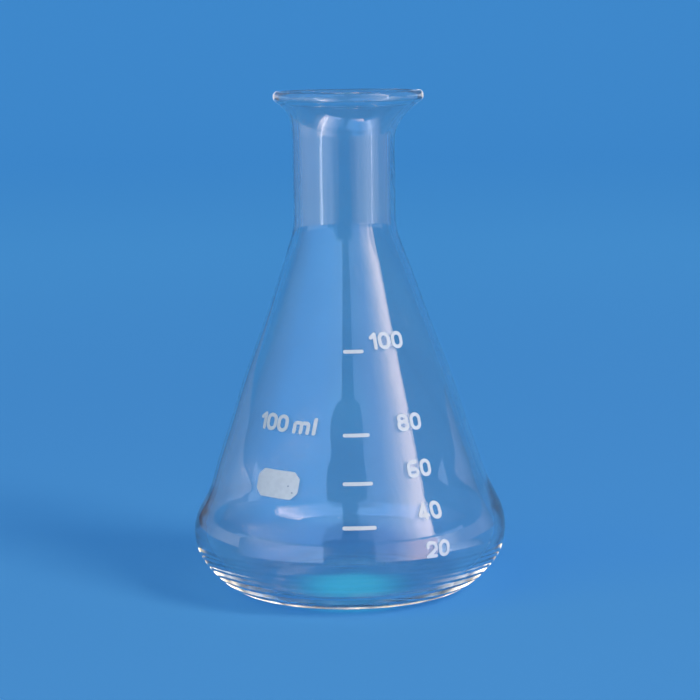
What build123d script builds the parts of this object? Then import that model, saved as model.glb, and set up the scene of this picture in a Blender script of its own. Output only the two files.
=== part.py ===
from build123d import *
import os
from math import asin, cos, degrees, radians, sin, tan

# Narrow-neck conical flask, nominal capacity 100 ml: one blown borosilicate glass body that carries
# a white enamel graduation, capacity label and writing patch, fired on to the outside of the cone.
# Millimetres, +Z up. Origin: centre of the circle the flask stands on. The graduation faces -Y.

# Overall size
HEIGHT = 104.0
BODY_DIAMETER = 65.0
NECK_DIAMETER = 21.2
LIP_DIAMETER = 30.9

# Underside: a raised centre inside the flat ring that the flask stands on
KICK_HEIGHT = 1.2
KICK_TOP_RADIUS = 4.0
KICK_FOOT_RADIUS = 14.0
KICK_BLEND = 30.0

# Heel: the flank rises from the ring, rolls over the widest circle and leans in to the cone
HEEL_HEIGHT = 13.2
HEEL_ROUND = 10.9
FLANK_ANGLE = 47.0
FLANK_BLEND = 13.2
LOWER_WALL_LEAN = 26.8
CONE_FOOT_HEIGHT = 21.8
CONE_FOOT_BLEND = 40.0
CONE_FOOT_INSIDE_BLEND = 19.0

# Shoulder, neck and flared lip
SHOULDER_HEIGHT = 75.5
SHOULDER_BLEND = 15.0
FLARE_HEIGHT = 97.8
FLARE_BLEND = 9.0
BEAD_ROOT_RADIUS = 14.0
BEAD_BOTTOM_HEIGHT = 102.1
BEAD_ROOT_BLEND = 0.6
BEAD_EDGE_ROUND = 0.9
LIP_MOUTH_RADIUS = 13.5
MOUTH_EDGE_BLEND = 0.6

# Glass thickness
BASE_WALL = 2.4
FLANK_WALL = 2.1
LOWER_WALL = 1.6
CONE_WALL = 1.3
NECK_WALL = 1.5

# Enamel print
ENAMEL_THICKNESS = 0.12
STROKE = 0.7
LINE_HEIGHTS = {40: 19.1, 60: 27.3, 80: 36.5, 100: 52.5}
LINE_START = -2.8
LINE_SPAN = 12.6
NUMERAL_HEIGHTS = {20: 12.4, 40: 19.7, 60: 27.8, 80: 36.8, 100: 52.7}
NUMERAL_END = 37.3
GLYPH_HEIGHT = 3.35
DIGIT_WIDTH = 2.6
NARROW_DIGIT_WIDTH = 1.5
EIGHT_LOWER_SHARE = 0.53
EIGHT_UPPER_WIDTH = 2.35
LOOP_ROUNDNESS = 0.49
DIGIT_GAP = 0.3
SMALL_LETTER_HEIGHT = 2.5
LETTER_M_WIDTH = 3.6
LETTER_L_WIDTH = 1.6
LABEL_AZIMUTH = -31.0
LABEL_HEIGHT = 36.7
LABEL_GAP = 0.15
LABEL_TILT = -2.5
WORD_SPACE = 0.9
PATCH_AZIMUTH = -31.4
PATCH_HEIGHT = 26.8
PATCH_SIZE = (9.7, 5.3)
PATCH_CHAMFER = 1.3
PATCH_CORNER_ROUND = 0.6

os.makedirs("parts", exist_ok=True)


def inset_corner(before, corner, after, wall_before, wall_after):
    """Where the two straight walls that meet at corner meet again once moved in by their thickness."""
    first = (Vector(*corner) - Vector(*before)).normalized()
    second = (Vector(*after) - Vector(*corner)).normalized()
    on_first = Vector(*corner) + Vector(-first.Y, first.X) * wall_before
    on_second = Vector(*corner) + Vector(-second.Y, second.X) * wall_after
    reach = (on_second - on_first).cross(second).Z / first.cross(second).Z
    moved = on_first + first * reach
    return (moved.X, moved.Y)


# Corners of the outside outline, as (radius, height)
neck_radius = NECK_DIAMETER / 2
lip_radius = LIP_DIAMETER / 2
flank_normal = radians(FLANK_ANGLE - 90)
wall_normal = radians(LOWER_WALL_LEAN)
heel_reach = HEEL_ROUND / cos((wall_normal - flank_normal) / 2)
heel_direction = (wall_normal + flank_normal) / 2
heel_corner = (
    BODY_DIAMETER / 2 - HEEL_ROUND + heel_reach * cos(heel_direction),
    HEEL_HEIGHT + heel_reach * sin(heel_direction),
)
foot_corner = (heel_corner[0] - heel_corner[1] / tan(radians(FLANK_ANGLE)), 0)
cone_foot = (
    heel_corner[0] - (CONE_FOOT_HEIGHT - heel_corner[1]) * tan(wall_normal),
    CONE_FOOT_HEIGHT,
)
shoulder = (neck_radius, SHOULDER_HEIGHT)
flare = (neck_radius, FLARE_HEIGHT)
bead_root = (BEAD_ROOT_RADIUS, FLARE_HEIGHT + BEAD_ROOT_RADIUS - neck_radius)
kick_foot = (KICK_FOOT_RADIUS, 0)

# Corners of the inside outline
bore_radius = neck_radius - NECK_WALL
flare_inside = inset_corner(shoulder, flare, bead_root, NECK_WALL, NECK_WALL)
mouth_edge = (LIP_MOUTH_RADIUS, flare_inside[1] + LIP_MOUTH_RADIUS - bore_radius)
shoulder_inside = inset_corner(cone_foot, shoulder, flare, CONE_WALL, NECK_WALL)
cone_foot_inside = inset_corner(heel_corner, cone_foot, shoulder, LOWER_WALL, CONE_WALL)
heel_inside = inset_corner(foot_corner, heel_corner, cone_foot, FLANK_WALL, LOWER_WALL)
floor_inside = inset_corner(kick_foot, foot_corner, heel_corner, BASE_WALL, FLANK_WALL)

outside = [
    ((KICK_TOP_RADIUS, KICK_HEIGHT), KICK_BLEND),
    (kick_foot, KICK_BLEND),
    (foot_corner, FLANK_BLEND),
    (heel_corner, HEEL_ROUND),
    (cone_foot, CONE_FOOT_BLEND),
    (shoulder, SHOULDER_BLEND),
    (flare, FLARE_BLEND),
    (bead_root, BEAD_ROOT_BLEND),
    ((lip_radius, BEAD_BOTTOM_HEIGHT), BEAD_EDGE_ROUND),
    ((lip_radius, HEIGHT), BEAD_EDGE_ROUND),
]
inside = [
    ((LIP_MOUTH_RADIUS, HEIGHT), BEAD_EDGE_ROUND),
    (mouth_edge, MOUTH_EDGE_BLEND),
    (flare_inside, FLARE_BLEND + NECK_WALL),
    (shoulder_inside, SHOULDER_BLEND + NECK_WALL),
    (cone_foot_inside, CONE_FOOT_INSIDE_BLEND),
    (heel_inside, HEEL_ROUND - LOWER_WALL),
    (floor_inside, FLANK_BLEND - FLANK_WALL),
    ((KICK_FOOT_RADIUS, BASE_WALL), KICK_BLEND),
    ((KICK_TOP_RADIUS, BASE_WALL + KICK_HEIGHT), KICK_BLEND),
]


def rounded_outline(start, corners, end):
    """Line through rounded corners, each given as (point, radius)."""
    points = [start] + [point for point, _ in corners] + [end]
    return FilletPolyline(*points, radius=[radius for _, radius in corners])


with BuildPart() as glass_body:
    with BuildSketch(Plane.XZ):
        with BuildLine():
            section = rounded_outline((0, KICK_HEIGHT), outside + inside, (0, BASE_WALL + KICK_HEIGHT))
            Line(section @ 1, section @ 0)
        make_face()
    revolve(axis=Axis.Z)

glass_body.part.label = "glass_body"
export_step(glass_body.part, "parts/glass_body.step")

# Skin of enamel thickness over the outside wall, from which every mark is cut
with BuildPart() as enamel_skin:
    with BuildSketch(Plane.XZ):
        with BuildLine():
            wall = rounded_outline(kick_foot, outside[2:6], flare)
        make_face(offset(wall.wire(), amount=ENAMEL_THICKNESS, side=Side.RIGHT, mode=Mode.PRIVATE))
    revolve(axis=Axis.Z)


def facing_plane(azimuth, height, tilt=0.0):
    """Upright plane through the flask's axis that looks outwards at azimuth (0 is -Y, + towards +X)."""
    turn = radians(azimuth)
    along = (cos(turn), sin(turn), tan(radians(tilt)))
    return Plane((0, 0, height), x_dir=along, z_dir=(sin(turn), -cos(turn), 0))


def wall_radius(height):
    """Outside radius of the glass at a height between the widest circle and the shoulder."""
    level = Line((0, height), (BODY_DIAMETER, height), mode=Mode.PRIVATE)
    return wall.intersect(level)[-1].X


def stroke(*points, bends=None):
    """Round-ended stroke through the points, with its bends rounded where radii are given."""
    with BuildLine(mode=Mode.PRIVATE) as path:
        if bends is None:
            Polyline(*points)
        else:
            FilletPolyline(*points, radius=bends)
    SlotArc(path.wire(), STROKE)


def loop(width, height, middle):
    """Closed oval stroke with its centre at height middle."""
    with Locations((0, middle)):
        RectangleRounded(width, height, LOOP_ROUNDNESS * min(width, height))
        hole = (width - 2 * STROKE, height - 2 * STROKE)
        RectangleRounded(*hole, LOOP_ROUNDNESS * min(hole), mode=Mode.SUBTRACT)


# Glyphs stand on y = 0, centred on x = 0; these are limits of a stroke's centre line
bottom = STROKE / 2
top = GLYPH_HEIGHT - STROKE / 2
side = (DIGIT_WIDTH - STROKE) / 2


def digit_0():
    loop(DIGIT_WIDTH, GLYPH_HEIGHT, GLYPH_HEIGHT / 2)


def digit_1():
    reach = (NARROW_DIGIT_WIDTH - STROKE) / 2
    flag = 0.78 * top
    stroke((-reach, flag), (reach, top), (reach, bottom))


def digit_2():
    hook = 0.74 * top
    turn = 0.58 * top
    points = ((-side, hook), (-side, top), (side, top), (side, turn), (-side, bottom), (side, bottom))
    stroke(*points, bends=(side / 2, side, side / 2, 0))


def digit_4():
    bar = 0.3 * top
    stem = 0.4 * side
    stroke((stem, bottom), (stem, top))
    stroke((stem, top), (-side, bar), (side, bar))


def digit_6():
    bowl = 0.6 * GLYPH_HEIGHT
    tip = 0.8 * side
    loop(DIGIT_WIDTH, bowl, bowl / 2)
    stroke((-side, bowl / 2), (-side, top), (tip, top), bends=side)


def digit_8():
    lower = EIGHT_LOWER_SHARE * (GLYPH_HEIGHT + STROKE)
    upper = GLYPH_HEIGHT + STROKE - lower
    loop(DIGIT_WIDTH, lower, lower / 2)
    loop(EIGHT_UPPER_WIDTH, upper, GLYPH_HEIGHT - upper / 2)


def letter_m():
    reach = (LETTER_M_WIDTH - STROKE) / 2
    ceiling = SMALL_LETTER_HEIGHT - STROKE / 2
    for left, right in ((-reach, 0), (0, reach)):
        arch = ((left, bottom), (left, ceiling), (right, ceiling), (right, bottom))
        stroke(*arch, bends=reach / 3)


def letter_l():
    stroke((0, bottom), (0, top))


def space():
    """Nothing is printed."""


GLYPHS = {
    "0": (digit_0, DIGIT_WIDTH),
    "1": (digit_1, NARROW_DIGIT_WIDTH),
    "2": (digit_2, DIGIT_WIDTH),
    "4": (digit_4, DIGIT_WIDTH),
    "6": (digit_6, DIGIT_WIDTH),
    "8": (digit_8, DIGIT_WIDTH),
    "m": (letter_m, LETTER_M_WIDTH),
    "l": (letter_l, LETTER_L_WIDTH),
    " ": (space, WORD_SPACE),
}


def text_width(text, gap):
    return sum(GLYPHS[character][1] for character in text) + gap * (len(text) - 1)


def draw_text(text, gap):
    """Text that stands on the sketch's origin, centred on it."""
    start = -text_width(text, gap) / 2
    for character in text:
        draw_glyph, width = GLYPHS[character]
        with Locations((start + width / 2, 0)):
            draw_glyph()
        start += width + gap


def fire_on(name, outline, plane):
    """Cut the outline's mark from the enamel skin, looking along the plane's normal, and write it."""
    with BuildPart() as mark:
        with BuildSketch(plane):
            add(outline)
        extrude(amount=BODY_DIAMETER)
        add(enamel_skin.part, mode=Mode.INTERSECT)
    mark.part.label = name
    export_step(mark.part, f"parts/{name}.step")


# Graduation lines, all between the same two meridians
for volume, height in LINE_HEIGHTS.items():
    line_length = 2 * wall_radius(height) * sin(radians(LINE_SPAN / 2))
    with BuildSketch() as line:
        SlotOverall(line_length, STROKE)
    fire_on(f"graduation_line_{volume}", line.sketch, facing_plane(LINE_START + LINE_SPAN / 2, height))

# Graduation numerals, which all end at the same meridian
for volume, height in NUMERAL_HEIGHTS.items():
    numeral_radius = wall_radius(height + GLYPH_HEIGHT / 2)
    numeral_half_angle = degrees(asin(text_width(str(volume), DIGIT_GAP) / 2 / numeral_radius))
    with BuildSketch() as numeral:
        draw_text(str(volume), DIGIT_GAP)
    numeral_plane = facing_plane(NUMERAL_END - numeral_half_angle, height)
    fire_on(f"graduation_number_{volume}", numeral.sketch, numeral_plane)

# Nominal capacity
with BuildSketch() as capacity:
    draw_text("100 ml", LABEL_GAP)
fire_on("capacity_label", capacity.sketch, facing_plane(LABEL_AZIMUTH, LABEL_HEIGHT, LABEL_TILT))

# Matt patch to write on
with BuildSketch() as patch:
    Rectangle(*PATCH_SIZE)
    chamfer(patch.vertices(), PATCH_CHAMFER)
    fillet(patch.vertices(), PATCH_CORNER_ROUND)
fire_on("writing_patch", patch.sketch, facing_plane(PATCH_AZIMUTH, PATCH_HEIGHT, LABEL_TILT))
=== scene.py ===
import math
import random
from collections import defaultdict

import bmesh
import bpy
import numpy as np
from mathutils import Matrix, Vector, noise


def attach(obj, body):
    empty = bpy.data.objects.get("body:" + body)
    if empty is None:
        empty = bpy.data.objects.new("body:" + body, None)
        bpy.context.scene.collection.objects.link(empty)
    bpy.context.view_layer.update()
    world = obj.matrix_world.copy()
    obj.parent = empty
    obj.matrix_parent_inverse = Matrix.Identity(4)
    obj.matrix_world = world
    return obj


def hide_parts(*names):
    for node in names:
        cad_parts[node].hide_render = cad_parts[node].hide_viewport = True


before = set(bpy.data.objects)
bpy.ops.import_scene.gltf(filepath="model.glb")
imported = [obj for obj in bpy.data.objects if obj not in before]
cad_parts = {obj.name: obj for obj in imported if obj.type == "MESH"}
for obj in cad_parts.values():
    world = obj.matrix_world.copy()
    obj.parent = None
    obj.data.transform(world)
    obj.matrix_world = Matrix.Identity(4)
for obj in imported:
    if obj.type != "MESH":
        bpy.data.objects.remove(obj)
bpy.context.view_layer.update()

# A 100 ml Erlenmeyer flask. Lengths are in metres. The flask stands on the floor at the origin and its
# front, with the graduation, faces -Y. An azimuth is measured around the flask from the front, in degrees,
# positive towards +X.

MM = 0.001
GLASS_NODE = "glass_body"
PATCH_NODE = "writing_patch"
BODY = "root"


# ---------------------------------------------------------------- shapes

SEGMENTS = 288            # columns of the glass around the axis
STEP_FINE = 0.5 * MM      # spacing of the glass's rings where the wall turns or is streaky
STEP_COARSE = 1.2 * MM    # and where it runs straight
POLISH_PITCH = 0.05 * MM  # spacing at which the outline is rounded off
POLISH = 7                # how far a flame-polished wall rounds off the drawn outline, in pitches
FLOW = 40                 # how far the thick glass of the heel has flowed inside, in pitches
BLUR_REACH = 4            # how far a rounding off reaches, in its widths
HEEL_TOP = 24 * MM        # the streaky, thick glass of the heel ends about here
FLOW_END = 1.5 * HEEL_TOP
FINE_BELOW = 0.8 * HEEL_TOP
FINE_TURNING = 20         # radians per metre of outline, above which its rings are close together
SEAM_GAP = 1e-7           # a vertex this near the XZ plane lies on it
SEAM_DIGITS = 7
WELD_GAP = 1e-6           # corners of a mark this near each other are one
LEAST_RADIUS = 1 * MM     # keeps the axis out of divisions by the radius


def seam_outline(node):
    """The half section of a turned node as (radius, height) rows, up its outside and down its inside."""
    mesh = node.data
    on_seam = {}
    for vertex in mesh.vertices:
        x, y, z = vertex.co
        if abs(y) < SEAM_GAP and x > 0:
            on_seam[vertex.index] = (round(x, SEAM_DIGITS), round(z, SEAM_DIGITS))
    links = defaultdict(set)
    for edge in mesh.edges:
        first, second = (on_seam.get(index) for index in edge.vertices)
        if first and second and first != second:
            links[first].add(second)
            links[second].add(first)
    ends = [point for point in links if len(links[point]) == 1]
    path = [min(ends, key=lambda point: point[1])]
    while True:
        onward = [point for point in links[path[-1]] if point not in path[-2:]]
        if not onward:
            break
        path.append(onward[0])
    return np.array([(0, path[0][1])] + path + [(0, path[-1][1])])


def distances(rows):
    """How far along the polyline each of its rows is."""
    steps = np.hypot(*np.diff(rows, axis=0).T)
    return np.concatenate([[0], np.cumsum(steps)])


def resample(rows, positions):
    """The polyline of rows at the given distances along it."""
    along = distances(rows)
    return np.column_stack([np.interp(positions, along, rows[:, axis]) for axis in (0, 1)])


def smooth_step(values, low, high):
    share = np.clip((values - low) / (high - low), 0, 1)
    return share * share * (3 - 2 * share)


def bell(values, middle, spread):
    return np.exp(-(((values - middle) / spread) ** 2))


def blurred(rows, width):
    """Evenly spaced rows, rounded off over width rows. Both ends lie on the axis and are mirrored there."""
    reach = BLUR_REACH * width
    kernel = np.exp(-0.5 * (np.arange(-reach, reach + 1) / width) ** 2)
    kernel /= kernel.sum()
    before = rows[1:reach + 1][::-1] * (-1, 1)
    after = rows[-reach - 1:-1][::-1] * (-1, 1)
    padded = np.vstack([before, rows, after])
    return np.column_stack([np.convolve(padded[:, axis], kernel, "valid") for axis in (0, 1)])


def softened(rows):
    """The outline with its corners rounded off by the flame, and more inside the heel, where glass flowed."""
    length = distances(rows)[-1]
    even = resample(rows, np.linspace(0, length, int(length / POLISH_PITCH)))
    polished = blurred(even, POLISH)
    flowed = blurred(even, FLOW)
    inside = np.arange(len(even)) > np.argmax(even[:, 1])
    share = (1 - smooth_step(even[:, 1], HEEL_TOP, FLOW_END)) * inside
    smooth = polished + (flowed - polished) * share[:, None]
    smooth[[0, -1], 0] = 0
    return smooth


def ring_rows(rows):
    """The outline at ring spacing: fine where it turns and in the heel, coarse where it is straight."""
    direction = np.unwrap(np.arctan2(*np.gradient(rows, axis=0).T[::-1]))
    steps = np.hypot(*np.diff(rows, axis=0).T)
    turning = np.abs(np.diff(direction)) / steps
    fine = (turning > FINE_TURNING) | (rows[1:, 1] < FINE_BELOW) & (rows[1:, 0] > HEEL_STREAKS_FROM)
    rings = np.concatenate([[0], np.cumsum(steps / np.where(fine, STEP_FINE, STEP_COARSE))])
    wanted = np.linspace(0, rings[-1], int(rings[-1]) + 1)
    return resample(rows, np.interp(wanted, rings, distances(rows)))


# How the flask as blown departs from the true shape
BELLY_SWELL, BELLY_HEIGHT, BELLY_SPREAD = 0.25 * MM, 45 * MM, 8 * MM
WAIST_DIP, WAIST_HEIGHT, WAIST_SPREAD = 0.18 * MM, 24 * MM, 4 * MM
FOOT_SKEW, FOOT_SKEW_HEIGHT, FOOT_SKEW_SPREAD = 0.35 * MM, 20.5 * MM, 4 * MM
SWELL_FULL = 6 * MM      # radius beyond which the wall swells in full
NECK_SHIFT = -0.27 * MM
NECK_SHIFT_FROM, NECK_SHIFT_TO = 62 * MM, 80 * MM
RIM_SHIFT = 0.83 * MM
RIM_SHIFT_FROM, RIM_SHIFT_TO = 94.5 * MM, 101.5 * MM


def as_blown(points):
    """Where points of the true shape sit on the flask as blown: a fuller cone, and its lip to one side."""
    points = points.copy()
    radius = np.hypot(points[:, 0], points[:, 1])
    height = points[:, 2]
    sideways = points[:, 0] / np.maximum(radius, LEAST_RADIUS)
    swell = BELLY_SWELL * bell(height, BELLY_HEIGHT, BELLY_SPREAD)
    swell -= WAIST_DIP * bell(height, WAIST_HEIGHT, WAIST_SPREAD)
    swell += FOOT_SKEW * sideways * bell(height, FOOT_SKEW_HEIGHT, FOOT_SKEW_SPREAD)
    outward = smooth_step(radius, 0, SWELL_FULL) * swell / np.maximum(radius, LEAST_RADIUS)
    points[:, :2] *= 1 + outward[:, None]
    points[:, 0] += NECK_SHIFT * smooth_step(height, NECK_SHIFT_FROM, NECK_SHIFT_TO)
    points[:, 0] += (RIM_SHIFT - NECK_SHIFT) * smooth_step(height, RIM_SHIFT_FROM, RIM_SHIFT_TO)
    return points


WALL_WAVE = 0.03 * MM        # depth of the wall's slow unevenness, then its size around and along the flask
WALL_WAVE_WIDTH, WALL_WAVE_HEIGHT = 9 * MM, 14 * MM
INSIDE_GAIN = 1.6            # the inside was never touched by a mould and is rougher

DRAWN_FROM, DRAWN_FULL = 68 * MM, 80 * MM      # heights between which the neck's drawn marks set in
DRAWN_FADE, DRAWN_END = 94 * MM, 100 * MM      # and fade out
DRAW_LINES = 0.045 * MM      # depth of the lines drawn along the neck
DRAW_LINE_TURN, DRAW_LINE_LENGTH = 11, 22 * MM
DRAW_RIPPLE = 0.008 * MM     # depth of the short ripple in them
DRAW_RIPPLE_TURN, DRAW_RIPPLE_LENGTH = 17, 1.6 * MM
NECK_RIDGES = 0.012 * MM     # height of the few sharp lines that the drawing left along the neck
NECK_RIDGE_AZIMUTHS = -24.5, 31.5, 35.0
NECK_RIDGE_WIDTH = 1.6       # degrees
NECK_RIDGE_REACH = 4         # widths
NECK_RIDGE_WANDER = 1.6      # degrees
NECK_RIDGE_WANDER_LENGTH = 1.1 * MM

HEEL_STREAKS = 0.045 * MM    # depth of the rings spun round the heel
HEEL_STREAKS_FROM, HEEL_STREAKS_FULL = 17 * MM, 24 * MM    # radii between which they set in
HEEL_STREAKS_FADE = 12 * MM  # height from which they fade
HEEL_STREAK_TURN, HEEL_STREAK_WIDTH = 2.2, 0.9 * MM

BASE_RIPPLE = 0.05 * MM      # depth of the ripple in the base
BASE_RIPPLE_SIZE = 5 * MM
BASE_FADE, BASE_END = 18 * MM, 26 * MM         # radii between which it fades out
BASE_FADE_UP, BASE_END_UP = 4 * MM, 8 * MM     # and heights


def texture(x, y, z):
    """Smooth noise between 0 and 1 at a place."""
    return 0.5 + 0.5 * noise.noise(Vector((x, y, z)))


def present(value, full, end):
    """1 up to full, falling smoothly to 0 at end."""
    return 1 - smooth_step(value, full, end)


def drawn_depth(angle, height):
    """How deep the lines drawn along the neck are at one place."""
    x, y = math.cos(angle), math.sin(angle)
    depth = DRAW_LINES * texture(DRAW_LINE_TURN * x, DRAW_LINE_TURN * y, height / DRAW_LINE_LENGTH)
    depth += DRAW_RIPPLE * texture(DRAW_RIPPLE_TURN * x, DRAW_RIPPLE_TURN * y, height / DRAW_RIPPLE_LENGTH)
    azimuth = math.degrees(angle) + 90
    for ridge in NECK_RIDGE_AZIMUTHS:
        wander = NECK_RIDGE_WANDER * (texture(ridge, 0, height / NECK_RIDGE_WANDER_LENGTH) - 0.5)
        aside = (azimuth - ridge - wander + 180) % 360 - 180
        if abs(aside) < NECK_RIDGE_REACH * NECK_RIDGE_WIDTH:
            depth -= NECK_RIDGES * math.exp(-((aside / NECK_RIDGE_WIDTH) ** 2))
    return depth


def worked_depth(angle, radius, height, along):
    """How far the wall dips below its smooth shape at one place, in metres.

    along is the distance along the outline.
    """
    x, y = math.cos(angle), math.sin(angle)
    east, north = radius * x, radius * y
    depth = WALL_WAVE * texture(east / WALL_WAVE_WIDTH, north / WALL_WAVE_WIDTH, height / WALL_WAVE_HEIGHT)
    neck = float(smooth_step(height, DRAWN_FROM, DRAWN_FULL) * present(height, DRAWN_FADE, DRAWN_END))
    if neck > 0:
        depth += neck * drawn_depth(angle, height)
    heel = smooth_step(radius, HEEL_STREAKS_FROM, HEEL_STREAKS_FULL)
    heel = float(heel * present(height, HEEL_STREAKS_FADE, HEEL_TOP))
    if heel > 0:
        streak = texture(HEEL_STREAK_TURN * x, HEEL_STREAK_TURN * y, along / HEEL_STREAK_WIDTH)
        depth += heel * HEEL_STREAKS * streak
    base = float(present(radius, BASE_FADE, BASE_END) * present(height, BASE_FADE_UP, BASE_END_UP))
    if base > 0:
        depth += base * BASE_RIPPLE * texture(east / BASE_RIPPLE_SIZE, north / BASE_RIPPLE_SIZE, 0)
    return depth


def lathe(name, rows):
    """A closed turned mesh of blown glass. The first and last rows lie on the axis."""
    along = distances(rows)
    tangent = np.gradient(rows, axis=0)
    tangent /= np.hypot(*tangent.T)[:, None]
    inward = np.column_stack([-tangent[:, 1], tangent[:, 0]])
    top = int(np.argmax(rows[:, 1]))
    angles = 2 * np.pi * np.arange(SEGMENTS) / SEGMENTS
    places = []
    for index in range(1, len(rows) - 1):
        radius, height = rows[index]
        gain = INSIDE_GAIN if index > top else 1
        depths = np.array([gain * worked_depth(angle, radius, height, along[index]) for angle in angles])
        radii = radius + depths * inward[index, 0]
        heights = height + depths * inward[index, 1]
        places.append(np.column_stack([radii * np.cos(angles), radii * np.sin(angles), heights]))
    places = as_blown(np.vstack(places))
    poles = [(0, 0, places[:SEGMENTS, 2].mean()), (0, 0, places[-SEGMENTS:, 2].mean())]
    count = len(rows) - 2
    grid = np.arange(count * SEGMENTS).reshape(count, SEGMENTS)
    after = np.roll(grid, -1, axis=1)
    faces = np.stack([grid[:-1], after[:-1], after[1:], grid[1:]], axis=-1).reshape(-1, 4).tolist()
    bottom_pole, top_pole = count * SEGMENTS, count * SEGMENTS + 1
    faces += [(second, first, bottom_pole) for first, second in zip(grid[0].tolist(), after[0].tolist())]
    faces += [(first, second, top_pole) for first, second in zip(grid[-1].tolist(), after[-1].tolist())]
    mesh = bpy.data.meshes.new(name)
    mesh.from_pydata(places.tolist() + poles, [], faces)
    mesh.update()
    mesh.shade_smooth()
    piece = bpy.data.objects.new(name, mesh)
    bpy.context.scene.collection.objects.link(piece)
    return piece


SHARP = math.radians(40)    # an edge of a mark that turns more than this stays crisp
MARK_SPLITS = 2


def split_once(points, triangles):
    """Every triangle cut in four at the middles of its edges."""
    points = list(map(tuple, points))
    middles = {}

    def middle(first, second):
        key = (min(first, second), max(first, second))
        if key not in middles:
            middles[key] = len(points)
            points.append(tuple((a + b) / 2 for a, b in zip(points[first], points[second])))
        return middles[key]

    cut = []
    for a, b, c in triangles:
        ab, bc, ca = middle(a, b), middle(b, c), middle(c, a)
        cut += [(a, ab, ca), (ab, b, bc), (ca, bc, c), (ab, bc, ca)]
    return np.array(points), cut


def fired_mark(node, wall):
    """A fired mark: the node's solid laid on the blown wall. wall is the true outside outline by height."""
    shape = bmesh.new()
    shape.from_mesh(node.data)
    bmesh.ops.remove_doubles(shape, verts=shape.verts, dist=WELD_GAP)
    bmesh.ops.triangulate(shape, faces=shape.faces)
    shape.verts.index_update()
    flat = np.array([vertex.co[:] for vertex in shape.verts])
    triangles = [tuple(vertex.index for vertex in face.verts) for face in shape.faces]
    shape.free()
    angle = np.arctan2(flat[:, 1], flat[:, 0])
    lift = np.hypot(flat[:, 0], flat[:, 1]) - np.interp(flat[:, 2], wall[:, 1], wall[:, 0])
    rolled_out = np.column_stack([angle, flat[:, 2], lift])
    for _ in range(MARK_SPLITS):
        rolled_out, triangles = split_once(rolled_out, triangles)
    angle, height, lift = rolled_out.T
    radius = np.interp(height, wall[:, 1], wall[:, 0]) + lift
    places = as_blown(np.column_stack([radius * np.cos(angle), radius * np.sin(angle), height]))
    mesh = bpy.data.meshes.new("fired_" + node.name)
    mesh.from_pydata(places.tolist(), [], triangles)
    mesh.update()
    mesh.shade_smooth()
    mesh.set_sharp_from_angle(angle=SHARP)
    piece = bpy.data.objects.new("fired_" + node.name, mesh)
    bpy.context.scene.collection.objects.link(piece)
    return piece


# ---------------------------------------------------------------- materials

def new_material(name):
    material = bpy.data.materials.new(name)
    material.use_nodes = True
    tree = material.node_tree
    tree.nodes.clear()
    return material, tree


def node(tree, kind, **settings):
    made = tree.nodes.new(kind)
    for key, value in settings.items():
        if key in made.bl_rna.properties:
            setattr(made, key, value)
        else:
            made.inputs[key.replace("_", " ")].default_value = value
    return made


def math_node(tree, operation, first, second):
    """A maths node on two values, each a socket or a number."""
    made = node(tree, "ShaderNodeMath", operation=operation)
    for socket, value in zip(made.inputs, (first, second)):
        if isinstance(value, (int, float)):
            socket.default_value = value
        else:
            tree.links.new(value, socket)
    return made.outputs["Value"]


def place_node(tree, stretch=(1, 1, 1)):
    """The place in metres, stretched."""
    where = node(tree, "ShaderNodeTexCoord")
    stretched = node(tree, "ShaderNodeMapping", Scale=stretch)
    tree.links.new(where.outputs["Object"], stretched.inputs["Vector"])
    return stretched.outputs["Vector"]


def noise_node(tree, scale, detail=2.0, stretch=(1, 1, 1)):
    made = node(tree, "ShaderNodeTexNoise", Scale=scale, Detail=detail)
    tree.links.new(place_node(tree, stretch), made.inputs["Vector"])
    return made.outputs["Fac"]


def ramp_node(tree, value, low, high, to_low=0.0, to_high=1.0):
    """The value, taken smoothly from low..high to to_low..to_high."""
    made = node(tree, "ShaderNodeMapRange", interpolation_type="SMOOTHSTEP")
    for label, number in zip(("From Min", "From Max", "To Min", "To Max"), (low, high, to_low, to_high)):
        made.inputs[label].default_value = number
    tree.links.new(value, made.inputs["Value"])
    return made.outputs["Result"]


def mix_node(tree, share, first, second):
    made = node(tree, "ShaderNodeMix", data_type="RGBA")
    made.inputs["A"].default_value = first
    made.inputs["B"].default_value = second
    tree.links.new(share, made.inputs["Factor"])
    return made.outputs["Result"]


def blend_node(tree, share, under, colour):
    """The colour socket under, with a colour laid over it by share."""
    made = node(tree, "ShaderNodeMix", data_type="RGBA")
    made.inputs["B"].default_value = colour
    tree.links.new(under, made.inputs["A"])
    tree.links.new(share, made.inputs["Factor"])
    return made.outputs["Result"]


def distance_node(tree, centre):
    """How far the place is from the centre."""
    away = node(tree, "ShaderNodeVectorMath", operation="DISTANCE")
    away.inputs[1].default_value = centre
    tree.links.new(place_node(tree), away.inputs[0])
    return away.outputs["Value"]


def speck_node(tree, cell, size):
    """1 inside sparse round specks: cell is their spacing and size their radius, in metres."""
    made = node(tree, "ShaderNodeTexVoronoi", Scale=1 / cell)
    tree.links.new(place_node(tree), made.inputs["Vector"])
    return ramp_node(tree, made.outputs["Distance"], SPECK_CORE * size / cell, size / cell, 1.0, 0.0)


def finish_material(tree, surface):
    output = node(tree, "ShaderNodeOutputMaterial")
    tree.links.new(surface.outputs["BSDF"], output.inputs["Surface"])


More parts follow.
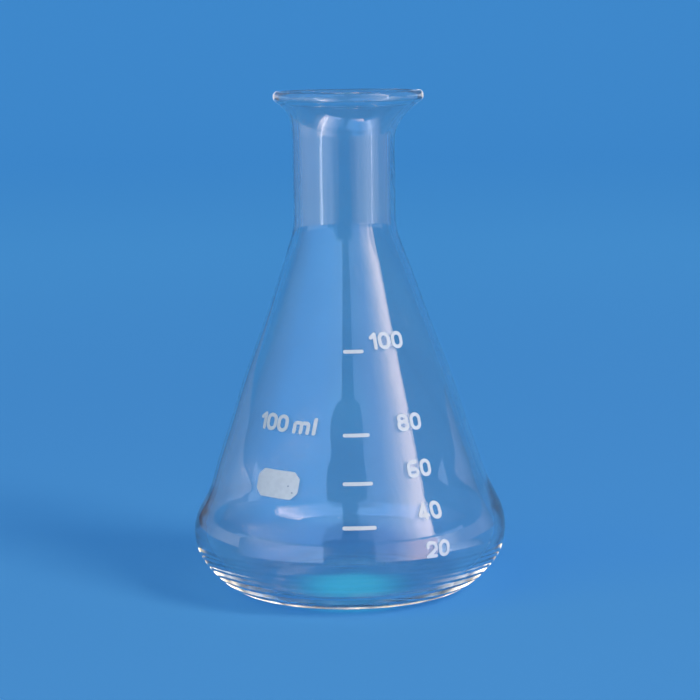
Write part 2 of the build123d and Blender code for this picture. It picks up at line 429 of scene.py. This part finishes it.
GLASS_IOR = 1.473
GLASS_TRANSMISSION = 0.985
GLASS_CLEAN = (0.955, 0.935, 0.92, 1)
GLASS_FILM = (0.925, 0.91, 0.9, 1)
FILM_SCALE, FILM_FROM, FILM_TO = 70, 0.35, 0.75          # scale of its noise, and where that noise shows
FILM_ROUGHNESS = 0.012
SCUFF_SCALE, SCUFF_FROM, SCUFF_TO = 260, 0.62, 0.74
SCUFF_DETAIL, SCUFF_STRETCH, SCUFF_ROUGHNESS = 4.0, (1, 1, 5), 0.10
SCUFFS_FADE, SCUFFS_END = 12 * MM, 22 * MM               # heights between which the scuffs fade out
SPECK_SPACING, SPECK_SIZE, SPECK_ROUGHNESS = 9 * MM, 0.16 * MM, 0.4
SPECK_CORE = 0.7                                         # share of a speck's radius that is solid


def glass_material():
    """Borosilicate glass: faint film, scuffs round the heel and a few specks."""
    material, tree = new_material("borosilicate_glass")
    surface = node(tree, "ShaderNodeBsdfPrincipled", IOR=GLASS_IOR)
    surface.inputs["Transmission Weight"].default_value = GLASS_TRANSMISSION
    film = ramp_node(tree, noise_node(tree, FILM_SCALE), FILM_FROM, FILM_TO)
    tint = mix_node(tree, film, GLASS_CLEAN, GLASS_FILM)
    tree.links.new(tint, surface.inputs["Base Color"])
    scuffs = noise_node(tree, SCUFF_SCALE, SCUFF_DETAIL, SCUFF_STRETCH)
    scuffs = ramp_node(tree, scuffs, SCUFF_FROM, SCUFF_TO, 0.0, SCUFF_ROUGHNESS)
    height = node(tree, "ShaderNodeSeparateXYZ")
    tree.links.new(place_node(tree), height.inputs["Vector"])
    heel = ramp_node(tree, height.outputs["Z"], SCUFFS_FADE, SCUFFS_END, 1.0, 0.0)
    specks = math_node(tree, "MULTIPLY", speck_node(tree, SPECK_SPACING, SPECK_SIZE), SPECK_ROUGHNESS)
    hazes = math_node(tree, "ADD", math_node(tree, "MULTIPLY", scuffs, heel), specks)
    rough = math_node(tree, "ADD", hazes, math_node(tree, "MULTIPLY", film, FILM_ROUGHNESS))
    tree.links.new(rough, surface.inputs["Roughness"])
    finish_material(tree, surface)
    return material


ENAMEL_THIN = (0.81, 0.80, 0.76, 1)
ENAMEL_FULL = (0.86, 0.85, 0.81, 1)
PINHOLE = (0.20, 0.24, 0.32, 1)
PINHOLE_CORE = 0.6                                       # share of a pinhole's radius that is solid
COVER_SCALE, COVER_DETAIL, COVER_FROM, COVER_TO = 900, 3.0, 0.3, 0.6
GRAIN_SCALE, GRAIN_FROM, GRAIN_TO = 3200, 0.3, 0.7
GRAIN_SMOOTH, GRAIN_ROUGH = 0.5, 0.7                     # roughness of the enamel between and on its grains
GRAIN_STRENGTH, GRAIN_DEPTH = 0.25, 0.03 * MM


def enamel_material(name, pinholes=()):
    """Matt fired enamel: laid unevenly, grainy and with the given pinholes, each (centre, radius)."""
    material, tree = new_material(name)
    surface = node(tree, "ShaderNodeBsdfPrincipled")
    cover = ramp_node(tree, noise_node(tree, COVER_SCALE, COVER_DETAIL), COVER_FROM, COVER_TO)
    colour = mix_node(tree, cover, ENAMEL_THIN, ENAMEL_FULL)
    for centre, radius in pinholes:
        share = ramp_node(tree, distance_node(tree, centre), PINHOLE_CORE * radius, radius, 1.0, 0.0)
        colour = blend_node(tree, share, colour, PINHOLE)
    tree.links.new(colour, surface.inputs["Base Color"])
    grain = noise_node(tree, GRAIN_SCALE)
    rough = ramp_node(tree, grain, GRAIN_FROM, GRAIN_TO, GRAIN_SMOOTH, GRAIN_ROUGH)
    tree.links.new(rough, surface.inputs["Roughness"])
    bump = node(tree, "ShaderNodeBump", Strength=GRAIN_STRENGTH, Distance=GRAIN_DEPTH)
    tree.links.new(grain, bump.inputs["Height"])
    tree.links.new(bump.outputs["Normal"], surface.inputs["Normal"])
    finish_material(tree, surface)
    return material


# ---------------------------------------------------------------- studio

FLOOR_COLOUR = (0.08, 0.26, 0.42, 1)
GLOW_NEAR = (0.022, 0.122, 0.350, 1)       # what the sweep gives off by itself, so that it looks even
GLOW_FAR = (0.036, 0.175, 0.405, 1)
GLOW_FADE_FROM, GLOW_FADE_TO = 0.1, 0.9
BASE_GLOW = (0.03, 0.43, 0.66, 1)          # painted on the floor, for the light that the base gathers there
BASE_GLOW_MIDDLE = (0, -10 * MM, 0)
BASE_GLOW_FULL, BASE_GLOW_END = 3 * MM, 15 * MM
FLOOR_RADIUS = 1.8
SWEEP_RADIUS = 1.0
WALL_TOP = 2.6
FLOOR_RINGS = 0.02, 0.1, 0.3, 0.6, 0.85, 1     # shares of the floor's radius
SWEEP_STEPS = 12
BOWL_SIDES = 96


def floor_material():
    """A mid blue sweep that glows so as to look evenly lit, with a painted glow under the flask's base."""
    material, tree = new_material("studio_floor")
    surface = node(tree, "ShaderNodeBsdfPrincipled", Roughness=1.0)
    surface.inputs["Base Color"].default_value = FLOOR_COLOUR
    surface.inputs["Specular IOR Level"].default_value = 0.0
    surface.inputs["Emission Strength"].default_value = 1.0
    far = ramp_node(tree, distance_node(tree, (0, 0, 0)), GLOW_FADE_FROM, GLOW_FADE_TO)
    beneath = distance_node(tree, BASE_GLOW_MIDDLE)
    beneath = ramp_node(tree, beneath, BASE_GLOW_FULL, BASE_GLOW_END, 1.0, 0.0)
    glow = blend_node(tree, beneath, mix_node(tree, far, GLOW_NEAR, GLOW_FAR), BASE_GLOW)
    tree.links.new(glow, surface.inputs["Emission Color"])
    finish_material(tree, surface)
    return material


def studio_bowl():
    """The floor and its all-round backdrop as one smooth bowl."""
    rows = [(FLOOR_RADIUS * share, 0) for share in FLOOR_RINGS]
    for step in range(1, SWEEP_STEPS + 1):
        angle = math.radians(90) * step / SWEEP_STEPS
        rows.append((FLOOR_RADIUS + SWEEP_RADIUS * math.sin(angle), SWEEP_RADIUS * (1 - math.cos(angle))))
    rows.append((FLOOR_RADIUS + SWEEP_RADIUS, WALL_TOP))
    mesh = bpy.data.meshes.new("studio_floor")
    shape = bmesh.new()
    turns = [math.tau * side / BOWL_SIDES for side in range(BOWL_SIDES)]
    rings = [
        [shape.verts.new((radius * math.sin(turn), radius * math.cos(turn), height)) for turn in turns]
        for radius, height in rows
    ]
    shape.faces.new(rings[0])
    for low, high in zip(rings, rings[1:]):
        for side in range(BOWL_SIDES):
            after = (side + 1) % BOWL_SIDES
            shape.faces.new((low[side], low[after], high[after], high[side]))
    bmesh.ops.recalc_face_normals(shape, faces=shape.faces)
    shape.to_mesh(mesh)
    shape.free()
    mesh.shade_smooth()
    bowl = bpy.data.objects.new("studio_floor", mesh)
    bpy.context.scene.collection.objects.link(bowl)
    mesh.materials.append(floor_material())
    return bowl


PANEL_COLUMNS = 48


def emission_material(name, stops, level):
    """A light panel's glow: level times the colours in stops, each (share across, (red, green, blue))."""
    material, tree = new_material(name)
    output = node(tree, "ShaderNodeOutputMaterial")
    emission = node(tree, "ShaderNodeEmission", Strength=level)
    place = node(tree, "ShaderNodeUVMap", uv_map="across")
    split = node(tree, "ShaderNodeSeparateXYZ")
    ramp = node(tree, "ShaderNodeValToRGB")
    points = ramp.color_ramp.elements
    while len(points) < len(stops):
        points.new(0.5)
    for point, (share, _) in zip(points, stops):
        point.position = share
    for point, (_, colour) in zip(points, stops):
        point.color = (*(part / level for part in colour), 1)
    tree.links.new(place.outputs["UV"], split.inputs["Vector"])
    tree.links.new(split.outputs["X"], ramp.inputs["Fac"])
    tree.links.new(ramp.outputs["Color"], emission.inputs["Color"])
    tree.links.new(emission.outputs["Emission"], output.inputs["Surface"])
    return material


def light_panel(name, rows, colours, diffuse=True, glossy=True, transmission=True):
    """A panel of light round the flask, unseen by the camera and, if so told, by some kinds of ray.

    rows holds (distance, height, first azimuth, last azimuth) and colours holds (azimuth, radiance).
    """
    start, end = colours[0][0], colours[-1][0]
    level = max(max(colour) for _, colour in colours) or 1
    stops = [((azimuth - start) / (end - start), colour) for azimuth, colour in colours]
    mesh = bpy.data.meshes.new(name)
    shape = bmesh.new()
    across = shape.loops.layers.uv.new("across")
    grid = []
    for distance, height, first, last in rows:
        line = []
        for column in range(PANEL_COLUMNS + 1):
            azimuth = first + (last - first) * column / PANEL_COLUMNS
            turn = math.radians(azimuth)
            spot = (distance * math.sin(turn), -distance * math.cos(turn), height)
            line.append((shape.verts.new(spot), (azimuth - start) / (end - start)))
        grid.append(line)
    for low, high in zip(grid, grid[1:]):
        for column in range(PANEL_COLUMNS):
            corners = low[column], high[column], high[column + 1], low[column + 1]
            face = shape.faces.new([corner[0] for corner in corners])
            for loop, corner in zip(face.loops, corners):
                loop[across].uv = (corner[1], 0)
    shape.to_mesh(mesh)
    shape.free()
    mesh.materials.append(emission_material(name, stops, level))
    panel = bpy.data.objects.new(name, mesh)
    bpy.context.scene.collection.objects.link(panel)
    panel.visible_camera = False
    panel.visible_shadow = False
    panel.visible_diffuse = diffuse
    panel.visible_glossy = glossy
    panel.visible_transmission = transmission
    return panel


# Colours are (azimuth, (red, green, blue)) from left to right. A window's edge is (elevation, first azimuth,
# last azimuth) from its foot up, in degrees.
WINDOW_DISTANCE = 1.2
WINDOW_CENTRE = 50 * MM      # the height from which its elevations are measured
RIGHT_WINDOW = [
    (6, (0.5, 1.0, 1.9)), (30, (0.9, 1.3, 2.3)), (42, (2.1, 2.2, 2.8)), (51, (4.0, 3.5, 3.5)),
    (59, (6.6, 5.3, 4.7)), (71, (7.9, 6.4, 5.7)),
]
LEFT_WINDOW = [
    (-120, (0.1, 0.15, 0.3)), (-95, (0.35, 0.6, 1.2)), (-75, (0.45, 1.1, 2.5)), (-33, (0.65, 1.6, 3.4)),
    (-7, (0.85, 1.7, 3.1)),
]
SIDE_KEY = [(-80, (1.4, 1.05, 0.25)), (-15, (1.4, 1.05, 0.25))]
FRONT_KEY = [(36, (16.0, 15.0, 15.0)), (60, (16.0, 15.0, 15.0))]
RIGHT_EDGE = [(6.5, 18, 65), (25, 15, 67), (27.2, 13, 68.5), (27.9, 6.5, 69.5), (55, 6, 69.5)]
LEFT_EDGE = [(6.5, -120, -22), (25, -120, -20), (27.2, -120, -13), (27.9, -120, -7.5), (55, -120, -7)]
SIDE_KEY_EDGE = [(22, -80, -15), (60, -80, -15)]
FRONT_KEY_EDGE = [(26, 36, 60), (44, 36, 60)]

CARD_DISTANCE = 0.3
CLOSE_CARD_DISTANCE = 60 * MM
CARD_LIFT = 0.5 * MM         # height of the lowest cards above the floor
CARD_FOOT = CARD_DISTANCE, CARD_LIFT           # each edge of a card is (distance, height)
NECK_CARD_HEAD = CARD_DISTANCE, 84 * MM
FLARE_CARD_NEAR = 75 * MM, CARD_LIFT
LOW_CARD_EDGES = (CLOSE_CARD_DISTANCE, 2 * MM), (CLOSE_CARD_DISTANCE, 24 * MM)
BEAD_CARD_EDGES = (CARD_DISTANCE, 86 * MM), (CARD_DISTANCE, 108 * MM)
BEAD_SIDE_EDGES = (CLOSE_CARD_DISTANCE, 97 * MM), (CLOSE_CARD_DISTANCE, 110 * MM)
RIGHT_LOW_CARD = [
    (13, (1.2, 1.6, 2.6)), (22, (1.9, 1.9, 3.0)), (29, (4.2, 3.6, 4.0)), (36, (7.6, 5.2, 4.4)),
    (49, (8.2, 5.4, 4.4)),
]
LEFT_LOW_CARD = [(-66, (0.6, 0.8, 1.2)), (-50, (1.6, 2.2, 3.8)), (-14, (3.0, 4.0, 5.8))]
LEFT_NECK_CARD = [
    (-150, (0.05, 0.05, 0.08)), (-118, (0.5, 0.55, 0.7)), (-95, (1.9, 1.95, 2.2)), (-70, (2.3, 2.4, 2.7)),
    (-54, (2.9, 3.1, 3.5)), (-51.5, (9.0, 9.5, 10.0)), (-48.5, (9.0, 9.5, 10.0)), (-46, (3.2, 3.4, 3.8)),
    (-30, (2.3, 2.5, 3.0)), (-12, (0.4, 0.4, 0.5)),
]
RIGHT_NECK_CARD = [
    (14, (0.4, 0.3, 0.3)), (36, (2.2, 2.1, 2.2)), (56, (3.8, 3.7, 3.8)), (60, (4.2, 4.0, 4.0)),
    (61, (10.0, 10.0, 10.0)), (64, (10.0, 10.0, 10.0)), (65, (4.6, 4.4, 4.4)), (74, (3.0, 2.9, 3.0)),
    (84, (1.1, 1.1, 1.3)), (110, (0.8, 0.8, 1.0)), (126, (0.05, 0.05, 0.08)),
]
LEFT_FLARE_CARD = [
    (-78, (0.1, 0.1, 0.1)), (-62, (2.0, 2.1, 2.4)), (-52, (3.0, 3.2, 3.5)), (-50, (7.0, 7.4, 8.0)),
    (-47, (7.0, 7.4, 8.0)), (-45, (3.0, 3.2, 3.5)), (-30, (2.0, 2.1, 2.4)), (-14, (0.1, 0.1, 0.1)),
]
RIGHT_FLARE_CARD = [
    (36, (0.1, 0.1, 0.1)), (54, (3.0, 3.0, 3.2)), (61, (6.0, 6.0, 6.0)), (64, (6.0, 6.0, 6.0)),
    (67, (3.2, 3.2, 3.4)), (80, (1.6, 1.6, 1.8)), (95, (0.1, 0.1, 0.1)),
]
LEFT_BEAD_CARD = [(-90, (1.6, 2.2, 3.2)), (-35, (1.2, 2.0, 3.2))]
RIGHT_BEAD_CARD = [(50, (0.8, 1.4, 2.4)), (90, (1.4, 1.8, 2.6))]
BEAD_SIDE_COLOUR = (1.3, 1.3, 1.3)
BEAD_SIDE_AZIMUTHS = (-165, -90), (90, 165)
HEEL_CARD_COLOUR = (4.4, 3.7, 2.6)
HEEL_CARD_SPANS = (-168, -56), (-56, 56), (56, 168)
HEEL_CARD_STOPS = 18
HEEL_CARD_UNEVEN = 0.15, 1.2   # least and greatest share of its light
HEEL_CARD_SEED = 7
FRONT_TO_SIDE = 30, 75       # azimuths between which a heel card brightens
SIDE_ONLY = 95, 135
HEEL_CARDS = (               # near and far edge, brightness in front, where it brightens
    (22.5 * MM, 23.8 * MM, 0.6, FRONT_TO_SIDE), (25.2 * MM, 26.8 * MM, 0.12, FRONT_TO_SIDE),
    (27.6 * MM, 28.8 * MM, 0.1, FRONT_TO_SIDE), (30.0 * MM, 31.8 * MM, 0.0, FRONT_TO_SIDE),
    (33.4 * MM, 34.2 * MM, 0.0, FRONT_TO_SIDE), (36.5 * MM, 38.6 * MM, 0.0, SIDE_ONLY),
    (41.0 * MM, 42.2 * MM, 0.0, SIDE_ONLY), (46.0 * MM, 50.0 * MM, 0.0, SIDE_ONLY),
)
WORLD_COLOUR, WORLD_STRENGTH = (0.3, 0.55, 1.0, 1), 0.1


def window_rows(edge):
    """The rows of a far window from its edge, whose elevations are seen from the middle of the flask."""
    rows = []
    for elevation, first, last in edge:
        height = WINDOW_CENTRE + WINDOW_DISTANCE * math.tan(math.radians(elevation))
        rows.append((WINDOW_DISTANCE, height, first, last))
    return rows


def card(name, colours, low, high):
    """A panel close by that only shows as a reflection in the outside of the glass.

    low and high are its two edges, each (distance, height).
    """
    first, last = colours[0][0], colours[-1][0]
    rows = [(distance, height, first, last) for distance, height in (low, high)]
    light_panel(name, rows, colours, diffuse=False, transmission=False)


def heel_card_colours(chance, span, front_share, brightening):
    """Uneven light along a thin ring on the floor, brighter at the sides than in front."""
    colours = []
    for azimuth in np.linspace(*span, HEEL_CARD_STOPS):
        side = float(smooth_step(abs(azimuth), *brightening))
        level = (front_share + (1 - front_share) * side) * chance.uniform(*HEEL_CARD_UNEVEN)
        colours.append((float(azimuth), tuple(level * part for part in HEEL_CARD_COLOUR)))
    return colours


def window_lights():
    """Two broad windows high on either side, and two keys that only light matt things."""
    light_panel("right_window", window_rows(RIGHT_EDGE), RIGHT_WINDOW, diffuse=False)
    light_panel("left_window", window_rows(LEFT_EDGE), LEFT_WINDOW, diffuse=False)
    light_panel("side_key", window_rows(SIDE_KEY_EDGE), SIDE_KEY, glossy=False, transmission=False)
    light_panel("front_key", window_rows(FRONT_KEY_EDGE), FRONT_KEY, glossy=False, transmission=False)


def reflection_cards():
    """The cards that put highlights on the heel, the neck, the flare and the lip.

    The highlights come from these cards, and not from the glass alone.
    """
    card("right_low_card", RIGHT_LOW_CARD, *LOW_CARD_EDGES)
    card("left_low_card", LEFT_LOW_CARD, *LOW_CARD_EDGES)
    card("right_neck_card", RIGHT_NECK_CARD, CARD_FOOT, NECK_CARD_HEAD)
    card("left_neck_card", LEFT_NECK_CARD, CARD_FOOT, NECK_CARD_HEAD)
    card("right_flare_card", RIGHT_FLARE_CARD, FLARE_CARD_NEAR, CARD_FOOT)
    card("left_flare_card", LEFT_FLARE_CARD, FLARE_CARD_NEAR, CARD_FOOT)
    card("right_bead_card", RIGHT_BEAD_CARD, *BEAD_CARD_EDGES)
    card("left_bead_card", LEFT_BEAD_CARD, *BEAD_CARD_EDGES)
    for first, last in BEAD_SIDE_AZIMUTHS:
        colours = [(first, BEAD_SIDE_COLOUR), (last, BEAD_SIDE_COLOUR)]
        card("bead_side_card", colours, *BEAD_SIDE_EDGES)
    chance = random.Random(HEEL_CARD_SEED)
    for near, far, front_share, brightening in HEEL_CARDS:
        for span in HEEL_CARD_SPANS:
            colours = heel_card_colours(chance, span, front_share, brightening)
            card("heel_card", colours, (near, CARD_LIFT), (far, CARD_LIFT))


def studio_air():
    world = bpy.data.worlds.new("studio_air")
    world.use_nodes = True
    world.node_tree.nodes["Background"].inputs["Color"].default_value = WORLD_COLOUR
    world.node_tree.nodes["Background"].inputs["Strength"].default_value = WORLD_STRENGTH
    bpy.context.scene.world = world


CAMERA_PLACE = Vector((0, -483.03 * MM, 114.22 * MM))
CAMERA_PITCH = 7.53     # degrees below level
CAMERA_ROLL = -0.78     # degrees
CAMERA_SENSOR = 36      # mm
CAMERA_LENS = 120.71    # mm
CAMERA_SHIFT = 0.0035   # share of the picture's width
CAMERA_NEAR, CAMERA_FAR = 0.01, 20


def studio_camera():
    camera = bpy.data.objects.new("camera", bpy.data.cameras.new("camera"))
    bpy.context.scene.collection.objects.link(camera)
    camera.data.sensor_width = CAMERA_SENSOR
    camera.data.lens = CAMERA_LENS
    camera.data.shift_x = CAMERA_SHIFT
    camera.data.clip_start = CAMERA_NEAR
    camera.data.clip_end = CAMERA_FAR
    tilt = Matrix.Rotation(math.radians(90 - CAMERA_PITCH), 4, "X")
    roll = Matrix.Rotation(math.radians(CAMERA_ROLL), 4, "Z")
    camera.matrix_world = Matrix.Translation(CAMERA_PLACE) @ tilt @ roll
    bpy.context.scene.camera = camera


# ---------------------------------------------------------------- assembly

PATCH_PINHOLES = (0.24, 0.06), (0.34, -0.16)    # shares of the patch's width and height from its middle
PINHOLE_SIZE = 0.16 * MM
LIGHT_BOUNCES = 40


def patch_pinholes(patch):
    """The places of the patch's two pinholes, each with its radius."""
    spots = np.array([vertex.co[:] for vertex in patch.data.vertices])
    azimuths = np.arctan2(spots[:, 0], -spots[:, 1])
    heights = spots[:, 2]
    holes = []
    for across, up in PATCH_PINHOLES:
        azimuth = azimuths.mean() + across * np.ptp(azimuths)
        height = heights.mean() + up * np.ptp(heights)
        nearest = spots[np.argmin(np.abs(heights - height))]
        radius = float(np.hypot(nearest[0], nearest[1]))
        centre = (radius * math.sin(azimuth), -radius * math.cos(azimuth), float(height))
        holes.append((centre, PINHOLE_SIZE))
    return holes


outline = softened(seam_outline(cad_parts[GLASS_NODE]))
glass = lathe("blown_glass", ring_rows(outline))
glass.data.materials.append(glass_material())
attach(glass, BODY)
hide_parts(GLASS_NODE)

wall = outline[:int(np.argmax(outline[:, 1])) + 1]
wall = wall[np.concatenate([[True], np.diff(np.maximum.accumulate(wall[:, 1])) > 0])]
print_enamel = enamel_material("print_enamel")
for name, cad_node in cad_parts.items():
    if name != GLASS_NODE:
        mark = fired_mark(cad_node, wall)
        if name == PATCH_NODE:
            mark.data.materials.append(enamel_material("patch_enamel", patch_pinholes(mark)))
        else:
            mark.data.materials.append(print_enamel)
        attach(mark, BODY)
        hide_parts(name)

studio_bowl()
window_lights()
reflection_cards()
studio_air()
studio_camera()
render = bpy.context.scene.cycles
render.max_bounces = LIGHT_BOUNCES
render.transmission_bounces = LIGHT_BOUNCES
render.glossy_bounces = LIGHT_BOUNCES
render.transparent_max_bounces = LIGHT_BOUNCES
bpy.context.scene.view_settings.view_transform = "Standard"
